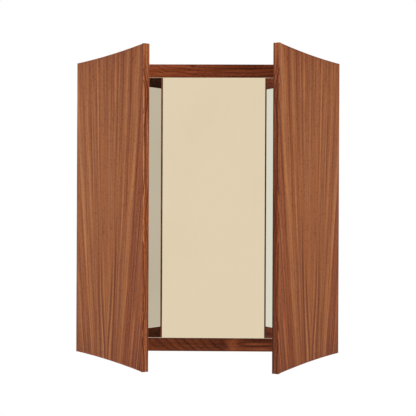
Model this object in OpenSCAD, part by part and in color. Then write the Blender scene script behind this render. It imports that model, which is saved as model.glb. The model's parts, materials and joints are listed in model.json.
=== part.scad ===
// Wall mirror with two shutters. A walnut frame holds a fixed centre mirror, and a flared walnut
// shutter, mirrored on its inner face, hangs on three butt hinges at each outer edge.
// X runs to the right, Y towards the wall and Z up, in millimetres. The wall is the plane Y = 0,
// and the origin is the middle of the row of wall screws, on the wall.

/* [Frame] */
// Overall width of the frame
frame_w = 694; // [560:1:900]
// Overall height of the frame
frame_h = 800; // [640:1:1000]
// Depth of the frame, from the wall to its front
frame_depth = 40; // [38:0.5:60]
// Face width of the stiles and rails
member_w = 36; // [32:0.5:50]
// Width of the rebate behind the members that holds the backing board
rebate_w = 10; // [8:0.5:14]
// Radius of the corner dowels
dowel_r = 4; // [3:0.5:5]
// Length of a corner dowel
dowel_len = 40; // [24:1:50]
// Distance of the dowels from the front and the back of the frame
dowel_edge = 12; // [10:0.5:16]

/* [Centre mirror] */
// Thickness of the mirror glass
glass_t = 4; // [3:0.5:6]
// Width of the polished arris round each mirror
arris = 1; // [0.5:0.1:1.5]
// How far the centre mirror lies behind the front of the frame
mirror_recess = 2; // [1:0.5:4]
// Gap between the edge of the centre mirror and the frame
mirror_clear = 0.5; // [0.3:0.1:1.5]
// Thickness of the tape behind the centre mirror
tape_t = 1; // [0.5:0.1:2]
// Width of a strip of tape
tape_w = 20; // [10:1:30]
// Distance from the ends of the tape to the edge of its mirror
tape_margin = 40; // [20:1:80]
// Number of strips behind the centre mirror
tape_count = 5; // [3:1:7]
// Thickness of the backing board
board_t = 12; // [9:0.5:15]
// Gap round the backing board in its rebate
board_clear = 0.5; // [0.3:0.1:1]

/* [Shutters] */
// Thickness of a shutter
shutter_t = 18; // [16:0.5:24]
// How far a shutter's free edge rises above and below the frame
flare = 15; // [5:0.5:30]
// Gap between the closed shutters, where they meet
meeting_gap = 2; // [1.5:0.1:5]
// Gap between a closed shutter and the front of the frame
shutter_gap = 2; // [1.6:0.1:3]
// How far the left shutter stands open, in degrees
left_open_angle = 53.2; // [0:0.1:180]
// How far the right shutter stands open, in degrees
right_open_angle = 58.5; // [0:0.1:180]
// Width of the wood between the mirror and the free edge
free_rim = 9; // [7:0.5:20]
// Width of the wood between the mirror and the hinge edge
hinge_rim = 36; // [32:0.5:60]
// Height of the wood above and below the mirror, at the hinge edge
end_rim = 37.5; // [30:0.5:60]
// Gap between the edge of a shutter's mirror and its pocket
pane_clear = 0.5; // [0.3:0.1:1]
// Thickness of the tape behind a shutter's mirror
pane_tape_t = 0.6; // [0.4:0.1:1.2]
// Number of strips behind a shutter's mirror
pane_tape_count = 3; // [2:1:4]
// Width of the solid lipping on the hinge edge
hinge_lip = 6; // [4:0.5:8]
// Thickness of the lipping on the curved top and bottom edges
end_lip = 3; // [1.5:0.5:6]
// Radius of the long corners of the lippings
lip_round = 2; // [1:0.25:3]

/* [Hinges] */
// Length of a butt hinge
hinge_len = 60; // [50:1:80]
// Distance from the middle of the outer hinges to the ends of the frame
hinge_end = 100; // [60:1:160]
// Width of a leaf on the wood
leaf_w = 22; // [20:0.5:28]
// Thickness of a leaf, let in flush
leaf_t = 1.5; // [1.4:0.1:2]
// Outer radius of the knuckles
knuckle_r = 3; // [2.6:0.1:4]
// Gap between the knuckles and the edges of the wood
knuckle_clear = 0.8; // [0.6:0.1:2]
// Gap between one leaf's knuckles and the other's
knuckle_gap = 0.3; // [0.2:0.05:0.6]
// Number of knuckles on a hinge, an odd number
knuckle_count = 5; // [3:2:7]
// Radius of the hinge pin
pin_r = 1.5; // [1.2:0.1:1.8]
// Running clearance of the pin, on the radius
pin_clear = 0.05; // [0.03:0.01:0.09]
// Radius of the pin's head
pin_head_r = 2.6; // [2.2:0.1:2.9]
// Height of the pin's head
pin_head_h = 1.5; // [1:0.1:3]

/* [Screws] */
// Shank radius of the hinge screws
hinge_screw_r = 1.5; // [1.2:0.1:1.8]
// Length of the hinge screws
hinge_screw_len = 14; // [10:0.5:15]
// Distance of a leaf's outer screws from the edge of the wood
hinge_screw_u = 16; // [15:0.5:17]
// How much nearer to the edge of the wood the middle screw of a leaf is
hinge_screw_step = 5; // [0:0.5:6]
// Spacing of the screws along a leaf
hinge_screw_pitch = 20; // [14:0.5:21]
// Shank radius of the screws that hold the backing board
board_screw_r = 1.5; // [1.2:0.1:1.8]
// How far those screws enter the front lip
board_screw_bite = 4; // [3:0.5:5]
// Number of screws along the top and the bottom of the board
board_screws_x = 4; // [2:1:6]
// Number of screws along each side of the board
board_screws_z = 3; // [2:1:6]
// Distance from a corner of the board to its first screw
board_screw_end = 60; // [30:1:100]
// Shank radius of the screws that hold the frame's cleat
cleat_screw_r = 2; // [1.5:0.1:2.5]
// How far those screws enter the backing board
cleat_screw_bite = 9; // [6:0.5:10]
// Number of those screws
cleat_screw_count = 5; // [2:1:7]

/* [Hanging] */
// Distance from the ends of both cleats to the stiles, behind the rebate
cleat_end = 41; // [10:1:80]
// Height of the frame's cleat at its bevelled point
cleat_h = 54; // [46:1:80]
// Play in depth between each cleat and what it faces
cleat_play = 3; // [2:0.5:6]
// Height of the wall cleat at the wall
wall_cleat_h = 60; // [50:1:90]
// Distance from the wall cleat's bevel to the row of wall screws, at the wall
wall_hole_drop = 35; // [25:1:40]
// Radius of the holes for the wall screws
wall_hole_r = 2.75; // [2:0.25:3.5]
// Radius of the countersinks for the wall screws
wall_sink_r = 5.5; // [4.5:0.25:6]
// Number of wall screws
wall_hole_count = 4; // [2:1:5]
// Distance from the ends of the wall cleat to the outer wall screws
wall_hole_end = 40; // [20:1:80]

/* [Catches] */
// Distance of the magnets from the sides of the frame
magnet_edge = 112; // [70:1:120]
// Radius of the magnets and of the wooden plugs over them
magnet_r = 4; // [3:0.5:6]
// Thickness of a magnet
magnet_t = 3; // [2:0.5:5]
// Thickness of the wooden plug over a magnet
plug_t = 2; // [1:0.5:3]
// Radius of the steel discs in the shutters
disc_r = 5; // [4:0.5:7]
// Thickness of a steel disc
disc_t = 1.5; // [1:0.1:3]
// Distance of the felt pads from the sides of the frame
pad_edge = 137; // [130:1:170]
// Radius of the felt pads
pad_r = 4; // [3:0.5:6]
// Gap between the felt pads and a closed shutter
pad_play = 0.3; // [0.2:0.05:0.6]

/* [Hidden] */
LEFT = -1;
RIGHT = 1;
SIDES = [LEFT, RIGHT];
ENDS = [-1, 1];
round_fn = 48;
arc_fn = 720;
cut = 1;
glue_gap = 0.05;
hole_spare = 1;
recess_slot_w = 0.8;
recess_slot_depth = 0.9;

half_w = frame_w / 2;
half_h = frame_h / 2;
opening_w = frame_w - 2 * member_w;
opening_h = frame_h - 2 * member_w;
lip_t = mirror_recess + glass_t + tape_t;
board_w = opening_w + 2 * rebate_w - 2 * board_clear;
board_h = opening_h + 2 * rebate_w - 2 * board_clear;
board_back = -frame_depth + lip_t + board_t;
rebate_top = opening_h / 2 + rebate_w;
rail_mid = half_h - member_w / 2;

cleat_t = -board_back - cleat_play;
cleat_len = opening_w + 2 * rebate_w - 2 * cleat_end;
cleat_low = rebate_top - cleat_h;
bevel_sum = cleat_low - cleat_play;
wall_cleat_low = bevel_sum - wall_cleat_h;
fixing_z = bevel_sum - wall_hole_drop;
wall_sink_h = wall_sink_r - wall_hole_r;
magnet_x = half_w - magnet_edge;
pad_x = half_w - pad_edge;

shutter_w = half_w - meeting_gap / 2;
arc_r = (shutter_w * shutter_w + flare * flare) / (2 * flare);
free_lip = free_rim - pane_clear;
pane_w = shutter_w - hinge_rim - free_rim;
pane_h = frame_h - 2 * end_rim;
pocket_depth = glass_t + pane_tape_t;
pin_out = knuckle_r + knuckle_clear;
pin_fwd = shutter_gap / 2;
knuckle_h = hinge_len / knuckle_count;
HINGE_Z = [-(half_h - hinge_end), 0, half_h - hinge_end];
pad_t = shutter_gap - pad_play;

// ---- placing ----

// Frame pieces are drawn about the middle of the frame and hung from the wall screws.
module hung() {
    translate([0, 0, -fixing_z]) children();
}

// Pieces that repeat on both sides are drawn for the left side.
module on_side(side) {
    if (side == RIGHT) mirror([1, 0, 0]) children();
    else children();
}

// Local origin at the outer front corner of the frame: X runs inwards, Y towards the wall.
module at_hinge_corner(side) {
    hung() on_side(side) translate([-half_w, -frame_depth, 0]) children();
}

// A closed shutter, turned about its hinge pins to where it stands open.
module opened(side) {
    angle = side == LEFT ? left_open_angle : right_open_angle;
    at_hinge_corner(side)
        translate([-pin_out, -pin_fwd, 0])
            rotate([0, 0, -angle])
                translate([pin_out, pin_fwd, 0]) children();
}

// Turns a leaf drawn for the frame into one for the shutter that faces it.
module facing_leaf() {
    translate([0, -shutter_gap, 0]) mirror([0, 1, 0]) children();
}

// Evenly spaced places from -reach to reach.
function spread(count, reach) = [for (i = [0 : count - 1]) -reach + 2 * reach * i / (count - 1)];

// ---- screws, holes and glass ----

// A countersunk screw along +Y, with its head flush with the plane Y = 0.
module screw(r, length) {
    head_r = 2 * r;
    rotate([-90, 0, 0]) difference() {
        union() {
            cylinder(r1 = head_r, r2 = r, h = head_r - r, $fn = round_fn);
            cylinder(r = r, h = length, $fn = round_fn);
        }
        for (turn = [0, 90]) rotate([0, 0, turn])
            translate([-r, -recess_slot_w / 2, -cut]) cube([2 * r, recess_slot_w, cut + recess_slot_depth]);
    }
}

// The hole for that screw.
module screw_hole(r, length) {
    head_r = 2 * r;
    rotate([-90, 0, 0]) {
        cylinder(r1 = head_r + glue_gap, r2 = r + glue_gap, h = head_r - r, $fn = round_fn);
        translate([0, 0, -cut]) cylinder(r = head_r + glue_gap, h = cut, $fn = round_fn);
        cylinder(r = r + glue_gap, h = length + hole_spare, $fn = round_fn);
    }
}

// A glass plate with an arris round its face, which lies on Y = 0 and looks towards -Y.
module pane_profile(w, t) {
    polygon([
        [-w / 2 + arris, 0], [w / 2 - arris, 0], [w / 2, arris],
        [w / 2, t], [-w / 2, t], [-w / 2, arris]
    ]);
}

module glass_pane(w, h, t) {
    intersection() {
        linear_extrude(h, center = true) pane_profile(w, t);
        rotate([0, 90, 0]) linear_extrude(w, center = true) pane_profile(h, t);
    }
}

// Upright strips of tape, on Y = 0 and towards +Y.
module tape_strips(count, w, h, t) {
    for (x = spread(count, w / 2 - tape_margin))
        translate([x - tape_w / 2, 0, tape_margin - h / 2]) cube([tape_w, t, h - 2 * tape_margin]);
}

// ---- frame ----

module dowel_places() {
    for (x = ENDS) for (z = ENDS) for (y = [dowel_edge, frame_depth - dowel_edge])
        translate([x * (half_w - member_w), -y, z * (rail_mid + rebate_w / 2)]) rotate([0, 90, 0]) children();
}

module dowel_holes() {
    dowel_places() cylinder(
        r = dowel_r + glue_gap, h = dowel_len + 2 * hole_spare, center = true, $fn = round_fn
    );
}

module board_screw_places() {
    edge_x = board_w / 2 + board_clear - rebate_w / 2;
    edge_z = board_h / 2 + board_clear - rebate_w / 2;
    for (z = ENDS) for (x = spread(board_screws_x, board_w / 2 - board_screw_end))
        translate([x, board_back, z * edge_z]) rotate([0, 0, 180]) children();
    for (x = ENDS) for (z = spread(board_screws_z, board_h / 2 - board_screw_end))
        translate([x * edge_x, board_back, z]) rotate([0, 0, 180]) children();
}

module board_screw_holes() {
    board_screw_places() screw_hole(board_screw_r, board_t + board_screw_bite);
}

// The space behind the lip that takes the backing board and the cleats.
module rebate_space() {
    translate([-opening_w / 2 - rebate_w, -frame_depth + lip_t, -rebate_top])
        cube([opening_w + 2 * rebate_w, frame_depth, 2 * rebate_top]);
}

module leaf_pockets() {
    for (z = HINGE_Z)
        translate([-cut, -cut, z - hinge_len / 2 - glue_gap])
            cube([cut + leaf_w + glue_gap, cut + leaf_t, hinge_len + 2 * glue_gap]);
}

module stile(side) {
    difference() {
        hung() on_side(side) translate([-half_w, -frame_depth, -half_h])
            cube([member_w, frame_depth, frame_h]);
        hung() {
            rebate_space();
            dowel_holes();
            board_screw_holes();
        }
        at_hinge_corner(side) {
            leaf_pockets();
            hinge_screw_places() screw_hole(hinge_screw_r, hinge_screw_len);
        }
    }
}

module rail(end) {
    hung() difference() {
        translate([-opening_w / 2, -frame_depth, end > 0 ? opening_h / 2 : -half_h])
            cube([opening_w, frame_depth, member_w]);
        rebate_space();
        dowel_holes();
        board_screw_holes();
        magnet_places() translate([0, -cut, 0]) disc(magnet_r + glue_gap, cut + plug_t + magnet_t);
    }
}

module left_stile() {
    color("sienna") stile(LEFT);
}

module right_stile() {
    color("sienna") stile(RIGHT);
}

module top_rail() {
    color("saddlebrown") rail(1);
}

module bottom_rail() {
    color("saddlebrown") rail(-1);
}

module corner_dowels() {
    color("burlywood") hung() dowel_places()
        cylinder(r = dowel_r, h = dowel_len, center = true, $fn = round_fn);
}

// ---- centre mirror ----

module backing_board() {
    color("tan") hung() difference() {
        translate([-board_w / 2, board_back - board_t, -board_h / 2]) cube([board_w, board_t, board_h]);
        board_screw_holes();
        cleat_screw_places() screw_hole(cleat_screw_r, cleat_t + cleat_screw_bite);
    }
}

module backing_board_screws() {
    color("silver") hung() board_screw_places() screw(board_screw_r, board_t + board_screw_bite);
}

module centre_mirror() {
    color("lightcyan") hung() translate([0, -frame_depth + mirror_recess, 0])
        glass_pane(opening_w - 2 * mirror_clear, opening_h - 2 * mirror_clear, glass_t);
}

module centre_mirror_tape() {
    color("white") hung() translate([0, -frame_depth + mirror_recess + glass_t, 0])
        tape_strips(tape_count, opening_w, opening_h, tape_t);
}

// ---- hanging ----

// The cleats meet on a 45 degree bevel that slopes down towards the wall.
module frame_cleat() {
    back = board_back + cleat_t;
    color("burlywood") hung() difference() {
        rotate([90, 0, 90]) linear_extrude(cleat_len, center = true) polygon([
            [board_back, rebate_top], [back, rebate_top],
            [back, bevel_sum - back], [board_back, bevel_sum - board_back]
        ]);
        cleat_screw_places() screw_hole(cleat_screw_r, cleat_t + cleat_screw_bite);
    }
}

module wall_cleat() {
    color("burlywood") hung() difference() {
        rotate([90, 0, 90]) linear_extrude(cleat_len, center = true) polygon([
            [-cleat_t, wall_cleat_low], [0, wall_cleat_low],
            [0, bevel_sum], [-cleat_t, bevel_sum + cleat_t]
        ]);
        for (x = spread(wall_hole_count, cleat_len / 2 - wall_hole_end))
            translate([x, 0, fixing_z]) rotate([90, 0, 0]) {
                translate([0, 0, -cut]) cylinder(r = wall_hole_r, h = cleat_t + 2 * cut, $fn = round_fn);
                translate([0, 0, cleat_t - wall_sink_h])
                    cylinder(r1 = wall_hole_r, r2 = wall_sink_r, h = wall_sink_h, $fn = round_fn);
            }
    }
}

module cleat_screw_places() {
    solid_mid = (rebate_top + bevel_sum - board_back) / 2;
    for (x = spread(cleat_screw_count, cleat_len / 2 - board_screw_end))
        translate([x, board_back + cleat_t, solid_mid]) rotate([0, 0, 180]) children();
}

module frame_cleat_screws() {
    color("silver") hung() cleat_screw_places() screw(cleat_screw_r, cleat_t + cleat_screw_bite);
}

// ---- catches ----

// A disc on the plane Y = 0, towards +Y.
module disc(r, t) {
    rotate([-90, 0, 0]) cylinder(r = r, h = t, $fn = round_fn);
}

module magnet_places() {
    for (x = SIDES) for (z = ENDS) translate([x * magnet_x, -frame_depth, z * rail_mid]) children();
}

module catch_magnets() {
    color("gray") hung() magnet_places() translate([0, plug_t, 0]) disc(magnet_r, magnet_t);
}

module magnet_plugs() {
    color("saddlebrown") hung() magnet_places() disc(magnet_r, plug_t);
}

module felt_pads() {
    color("dimgray") hung()
        for (x = SIDES) for (z = ENDS)
            translate([x * pad_x, -frame_depth - pad_t, z * rail_mid]) disc(pad_r, pad_t);
}

module catch_disc_places() {
    for (z = ENDS) translate([magnet_edge, -shutter_gap - disc_t, z * rail_mid]) children();
}

// ---- hinges ----

// The three screw places of a leaf, about the middle of its length.
module leaf_screw_places() {
    for (i = [-1 : 1])
        translate([hinge_screw_u - (i == 0 ? hinge_screw_step : 0), 0, i * hinge_screw_pitch]) children();
}

// The screw places of all the leaves on one side of the frame.
module hinge_screw_places() {
    for (z = HINGE_Z) translate([0, 0, z]) leaf_screw_places() children();
}

// One leaf on the frame, about the middle of its length. The knuckles from first on, two apart.
module leaf(first, gap) {
    difference() {
        union() {
            translate([0, 0, -hinge_len / 2]) cube([leaf_w, leaf_t, hinge_len]);
            for (i = [first : 2 : knuckle_count - 1])
                translate([-pin_out, 0, i * knuckle_h - hinge_len / 2 + gap]) {
                    cube([pin_out, leaf_t, knuckle_h - 2 * gap]);
                    translate([0, -pin_fwd, 0])
                        cylinder(r = knuckle_r, h = knuckle_h - 2 * gap, $fn = round_fn);
                }
        }
        translate([-pin_out, -pin_fwd, -hinge_len / 2 - cut])
            cylinder(r = pin_r + pin_clear, h = hinge_len + 2 * cut, $fn = round_fn);
        leaf_screw_places() screw_hole(hinge_screw_r, hinge_screw_len);
    }
}

module frame_leaves(side) {
    color("gold") at_hinge_corner(side) for (z = HINGE_Z) translate([0, 0, z]) leaf(0, 0);
}

module frame_hinge_screws(side) {
    color("goldenrod") at_hinge_corner(side) hinge_screw_places() screw(hinge_screw_r, hinge_screw_len);
}

// A headed pin, dropped in from above so that its head rests on the top knuckle.
module hinge_pins(side) {
    color("goldenrod") at_hinge_corner(side) for (z = HINGE_Z)
        translate([-pin_out, -pin_fwd, z - hinge_len / 2]) {
            cylinder(r = pin_r, h = hinge_len, $fn = round_fn);
            translate([0, 0, hinge_len]) cylinder(r = pin_head_r, h = pin_head_h, $fn = round_fn);
        }
}

module left_frame_hinge_leaves() {
    frame_leaves(LEFT);
}

module right_frame_hinge_leaves() {
    frame_leaves(RIGHT);
}

module left_frame_hinge_screws() {
    frame_hinge_screws(LEFT);
}

module right_frame_hinge_screws() {
    frame_hinge_screws(RIGHT);
}

module left_hinge_pins() {
    hinge_pins(LEFT);
}

module right_hinge_pins() {
    hinge_pins(RIGHT);
}

// ---- shutters, drawn closed from the hinge corner ----

// What lies beyond a shutter's curved top and bottom, or beyond curves that lie inset from them.
// A curve is level with the frame at the hinge edge and rises by the flare at the free edge.
module beyond_ends(inset) {
    for (z = ENDS)
        translate([0, 0, z * (half_h + arc_r)]) rotate([90, 0, 0])
            cylinder(r = arc_r + inset, h = shutter_gap + shutter_t + cut, $fn = arc_fn);
}

// The square-ended board between the two lippings.
module shutter_blank() {
    translate([hinge_lip, -shutter_gap - shutter_t, -half_h - flare])
        cube([shutter_w - hinge_lip - free_lip, shutter_t, frame_h + 2 * flare]);
}

module shutter_leaf_pockets() {
    facing_leaf() {
        leaf_pockets();
        hinge_screw_places() screw_hole(hinge_screw_r, hinge_screw_len);
    }
}

module shutter_panel(side) {
    color("peru") opened(side) difference() {
        shutter_blank();
        beyond_ends(end_lip);
        translate([hinge_rim - pane_clear, -shutter_gap - pocket_depth, -pane_h / 2 - pane_clear])
            cube([shutter_w, pocket_depth + cut, pane_h + 2 * pane_clear]);
        shutter_leaf_pockets();
        catch_disc_places() disc(disc_r + glue_gap, disc_t + cut);
    }
}

module end_lippings(side) {
    color("sienna") opened(side) intersection() {
        difference() {
            shutter_blank();
            beyond_ends(0);
        }
        beyond_ends(end_lip);
    }
}

// A lipping's section: a strip from X = 0 to w whose corners at X = w are rounded.
module lipping_profile(w) {
    translate([0, -shutter_gap - shutter_t]) {
        square([w - lip_round, shutter_t]);
        translate([0, lip_round]) square([w, shutter_t - 2 * lip_round]);
        for (y = [lip_round, shutter_t - lip_round])
            translate([w - lip_round, y]) circle(r = lip_round, $fn = round_fn);
    }
}

module lipping(w) {
    translate([0, 0, -half_h - flare]) linear_extrude(frame_h + 2 * flare) lipping_profile(w);
}

module free_lipping(side) {
    color("sienna") opened(side) difference() {
        translate([shutter_w - free_lip, 0, 0]) lipping(free_lip);
        beyond_ends(0);
    }
}

module hinge_lipping(side) {
    color("sienna") opened(side) difference() {
        translate([hinge_lip, 0, 0]) mirror([1, 0, 0]) lipping(hinge_lip);
        beyond_ends(0);
        shutter_leaf_pockets();
    }
}

module shutter_mirror(side) {
    color("lightcyan") opened(side) translate([hinge_rim + pane_w / 2, -shutter_gap, 0])
        rotate([0, 0, 180]) glass_pane(pane_w, pane_h, glass_t);
}

module shutter_mirror_tape(side) {
    color("white") opened(side)
        translate([hinge_rim + pane_w / 2, -shutter_gap - pocket_depth, 0])
            tape_strips(pane_tape_count, pane_w, pane_h, pane_tape_t);
}

module shutter_leaves(side) {
    color("gold") opened(side) facing_leaf() for (z = HINGE_Z) translate([0, 0, z]) leaf(1, knuckle_gap);
}

module shutter_hinge_screws(side) {
    color("goldenrod") opened(side) facing_leaf() hinge_screw_places()
        screw(hinge_screw_r, hinge_screw_len);
}

module shutter_catch_discs(side) {
    color("silver") opened(side) catch_disc_places() disc(disc_r, disc_t);
}

module left_shutter_panel() {
    shutter_panel(LEFT);
}

module right_shutter_panel() {
    shutter_panel(RIGHT);
}

module left_shutter_free_lipping() {
    free_lipping(LEFT);
}

module right_shutter_free_lipping() {
    free_lipping(RIGHT);
}

module left_shutter_hinge_lipping() {
    hinge_lipping(LEFT);
}

module right_shutter_hinge_lipping() {
    hinge_lipping(RIGHT);
}

module left_shutter_end_lippings() {
    end_lippings(LEFT);
}

module right_shutter_end_lippings() {
    end_lippings(RIGHT);
}

module left_shutter_mirror() {
    shutter_mirror(LEFT);
}

module right_shutter_mirror() {
    shutter_mirror(RIGHT);
}

module left_shutter_mirror_tape() {
    shutter_mirror_tape(LEFT);
}

module right_shutter_mirror_tape() {
    shutter_mirror_tape(RIGHT);
}

module left_shutter_hinge_leaves() {
    shutter_leaves(LEFT);
}

module right_shutter_hinge_leaves() {
    shutter_leaves(RIGHT);
}

module left_shutter_hinge_screws() {
    shutter_hinge_screws(LEFT);
}

module right_shutter_hinge_screws() {
    shutter_hinge_screws(RIGHT);
}

module left_shutter_catch_discs() {
    shutter_catch_discs(LEFT);
}

module right_shutter_catch_discs() {
    shutter_catch_discs(RIGHT);
}

left_stile();
right_stile();
top_rail();
bottom_rail();
corner_dowels();
backing_board();
backing_board_screws();
centre_mirror();
centre_mirror_tape();
frame_cleat();
frame_cleat_screws();
wall_cleat();
catch_magnets();
magnet_plugs();
felt_pads();
left_frame_hinge_leaves();
right_frame_hinge_leaves();
left_frame_hinge_screws();
right_frame_hinge_screws();
left_hinge_pins();
right_hinge_pins();
left_shutter_panel();
right_shutter_panel();
left_shutter_free_lipping();
right_shutter_free_lipping();
left_shutter_hinge_lipping();
right_shutter_hinge_lipping();
left_shutter_end_lippings();
right_shutter_end_lippings();
left_shutter_mirror();
right_shutter_mirror();
left_shutter_mirror_tape();
right_shutter_mirror_tape();
left_shutter_hinge_leaves();
right_shutter_hinge_leaves();
left_shutter_hinge_screws();
right_shutter_hinge_screws();
left_shutter_catch_discs();
right_shutter_catch_discs();
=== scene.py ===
"""Looks of the shutter mirror: walnut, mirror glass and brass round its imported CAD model.

Lengths are in metres, in the model's own frame: X to the right, Y to the wall, Z up.
"""

import json
import logging
import math
from collections.abc import Iterable
from dataclasses import asdict, dataclass, field, fields, replace
from enum import Enum
from functools import cache

import bmesh
import bpy
from mathutils import Matrix, Vector


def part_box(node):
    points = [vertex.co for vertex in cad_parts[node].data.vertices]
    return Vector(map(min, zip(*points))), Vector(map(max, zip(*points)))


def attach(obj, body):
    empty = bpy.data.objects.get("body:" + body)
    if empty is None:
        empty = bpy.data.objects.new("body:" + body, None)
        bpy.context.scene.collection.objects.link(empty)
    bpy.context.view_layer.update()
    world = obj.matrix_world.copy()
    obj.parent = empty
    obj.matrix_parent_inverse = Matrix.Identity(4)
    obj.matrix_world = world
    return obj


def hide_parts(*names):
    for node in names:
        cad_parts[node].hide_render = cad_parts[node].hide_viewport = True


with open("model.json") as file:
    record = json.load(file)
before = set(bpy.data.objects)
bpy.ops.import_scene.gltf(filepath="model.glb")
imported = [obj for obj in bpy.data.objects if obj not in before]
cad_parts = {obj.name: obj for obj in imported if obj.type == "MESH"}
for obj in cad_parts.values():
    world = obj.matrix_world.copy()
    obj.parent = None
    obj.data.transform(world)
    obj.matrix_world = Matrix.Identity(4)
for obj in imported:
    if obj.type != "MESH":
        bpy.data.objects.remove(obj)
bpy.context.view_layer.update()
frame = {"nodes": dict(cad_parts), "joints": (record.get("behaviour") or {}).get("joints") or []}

LOG = logging.getLogger("shutter_mirror")
MM = 0.001
EASED_EDGE = "eased_edge"

Rgb = tuple[int, int, int]
Rgba = tuple[float, float, float, float]
Triple = tuple[float, float, float]
Material = bpy.types.Material
Mesh = bmesh.types.BMesh
Tree = bpy.types.NodeTree
BLACK: Rgba = (0.0, 0.0, 0.0, 1.0)
WHITE: Rgba = (1.0, 1.0, 1.0, 1.0)
DUST: Rgb = (196, 186, 170)


# ---- choices ----


class Side(Enum):
    """A side of the mirror, with the sign of its X."""

    LEFT = -1
    RIGHT = 1

    @property
    def label(self) -> str:
        """The side's name in node names."""
        return self.name.lower()


class Grain(Enum):
    """How a straight board's grain lies, as a turn of its pattern: upright, upright on edge, or level."""

    UPRIGHT = (0.0, 0.0, 0.0)
    EDGEWAYS = (0.0, 0.0, math.radians(90))
    LEVEL = (0.0, math.radians(90), 0.0)


# ---- node graphs ----


def linear(colour: Rgb) -> Rgba:
    """Turns a screen colour, with channels from 0 to 255, into the scene's own linear colour."""
    levels = (channel / 255 for channel in colour)
    return (*(v / 12.92 if v <= 0.04045 else ((v + 0.055) / 1.055) ** 2.4 for v in levels), 1.0)


@dataclass(frozen=True)
class Signal:
    """A value on its way through a node tree. Arithmetic with it adds Math nodes to the tree."""

    graph: "Graph"
    socket: bpy.types.NodeSocket

    def __add__(self, other: "Value") -> "Signal":
        """Adds a value to it."""
        return self.graph.math("ADD", self, other)

    def __sub__(self, other: "Value") -> "Signal":
        """Takes a value from it."""
        return self.graph.math("SUBTRACT", self, other)

    def __rsub__(self, other: "Value") -> "Signal":
        """Takes it from a value."""
        return self.graph.math("SUBTRACT", other, self)

    def __mul__(self, other: "Value") -> "Signal":
        """Multiplies it by a value."""
        return self.graph.math("MULTIPLY", self, other)

    def __truediv__(self, other: "Value") -> "Signal":
        """Divides it by a value."""
        return self.graph.math("DIVIDE", self, other)

    def __pow__(self, other: "Value") -> "Signal":
        """Raises it to a power."""
        return self.graph.math("POWER", self, other)

    def __neg__(self) -> "Signal":
        """Turns its sign round."""
        return self * -1.0


Value = float | Triple | Rgba | Signal
Feeds = dict[str | int, Value]


@dataclass(frozen=True)
class Layer:
    """A layer of noise: its cells per metre across and along the pattern, and how finely they break up.

    The kept range is stretched to run from 0 to 1. Without one, the noise stays mostly near 0.5.
    """

    across: float
    along: float
    detail: float = 1.0
    rough: float = 0.5
    kept: tuple[float, float] | None = None


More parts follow.
